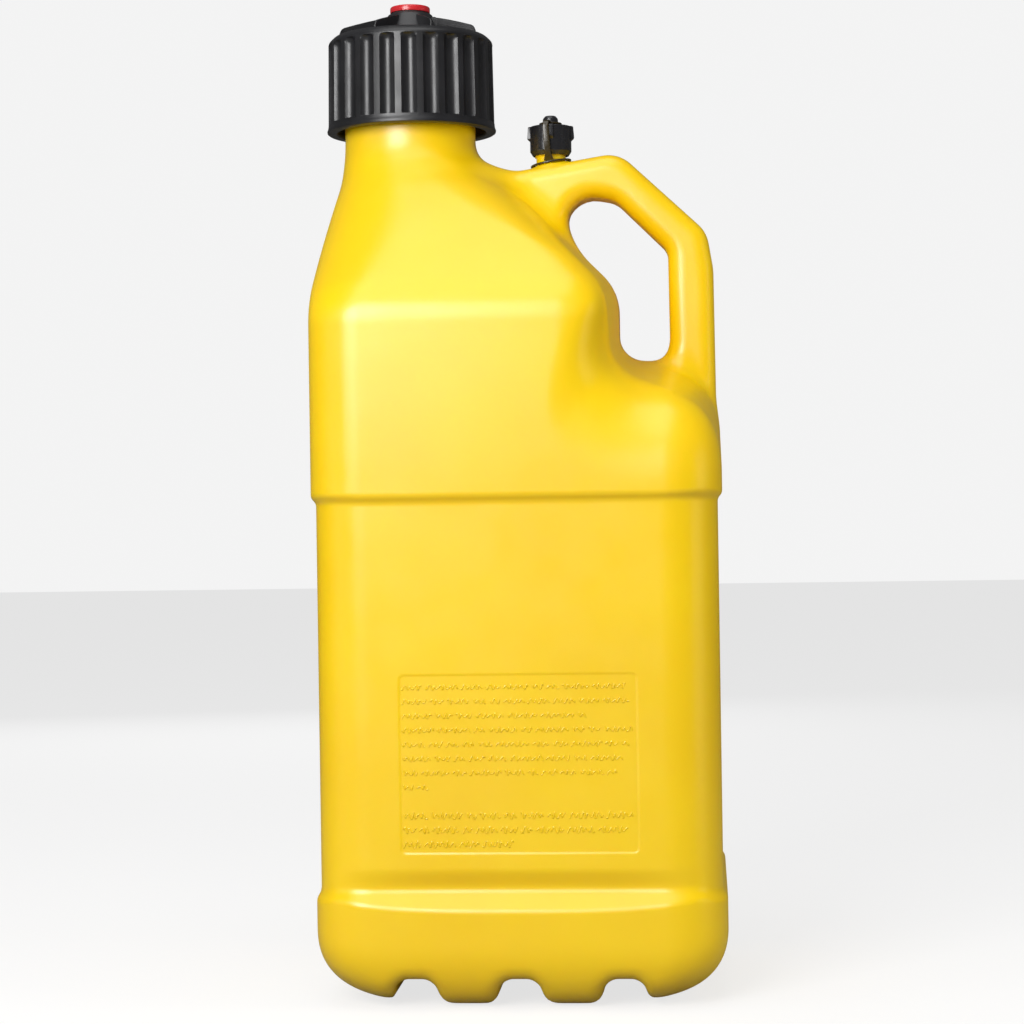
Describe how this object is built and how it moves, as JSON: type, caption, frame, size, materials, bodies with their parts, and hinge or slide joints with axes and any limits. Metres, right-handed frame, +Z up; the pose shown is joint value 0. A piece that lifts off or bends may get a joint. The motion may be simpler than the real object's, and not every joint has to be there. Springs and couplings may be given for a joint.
{
  "type": "jerry can",
  "caption": "Square upright plastic utility jug with an offset screw-capped neck, a moulded side handle, a screwed air vent on a tether and a grooved base.",
  "frame": {"origin": "centre of the base, on the surface the jug stands on", "axes": "+Z up along the body, +X towards the handle, -Y towards the face that is seen first"},
  "size_m": [0.238, 0.238, 0.5935],
  "materials": {
    "tank_plastic": "semi-matte blow-moulded polyethylene, yellow",
    "cap_plastic": "satin black injection moulding",
    "vent_plastic": "satin black injection moulding",
    "plug_plastic": "glossy red injection moulding",
    "seal_rubber": "smooth black rubber",
    "tether_rubber": "smooth flexible black rubber"
  },
  "bodies": {
    "tank": {"tank": "tank_plastic", "vent_tether": "tether_rubber"},
    "filler_seal": {"filler_gasket": "seal_rubber"},
    "filler_cap": {"filler_cap": "cap_plastic"},
    "hose_plug": {"hose_plug": "plug_plastic", "plug_washer": "seal_rubber"},
    "vent_seal": {"vent_gasket": "seal_rubber"},
    "vent_cap": {"vent_cap": "vent_plastic"}
  },
  "joints": [
    {"name": "filler_cap_lift", "type": "slide", "parent": "tank", "child": "filler_seal", "axis": [0, 0, 1], "range_m": [0, 0.0521]},
    {"name": "filler_cap_turn", "type": "hinge", "parent": "filler_seal", "child": "filler_cap", "pos_m": [-0.0669, 0, 0.5153], "axis": [0, 0, 1], "range_deg": [0, 2340]},
    {"name": "hose_plug_pull", "type": "slide", "parent": "filler_cap", "child": "hose_plug", "axis": [0, 0, 1], "range_m": [0, 0.034]},
    {"name": "vent_cap_lift", "type": "slide", "parent": "tank", "child": "vent_seal", "axis": [0, 0, 1], "range_m": [0, 0.0151], "deforming": ["vent_tether"]},
    {"name": "vent_cap_turn", "type": "hinge", "parent": "vent_seal", "child": "vent_cap", "pos_m": [0.0184, 0, 0.5], "axis": [0, 0, 1], "range_deg": [0, 1800]}
  ],
  "couplings": [
    {"joint": "filler_cap_lift", "follows": "filler_cap_turn", "m_per_rad": 0.0012732},
    {"joint": "vent_cap_lift", "follows": "vent_cap_turn", "m_per_rad": 0.00047746}
  ]
}
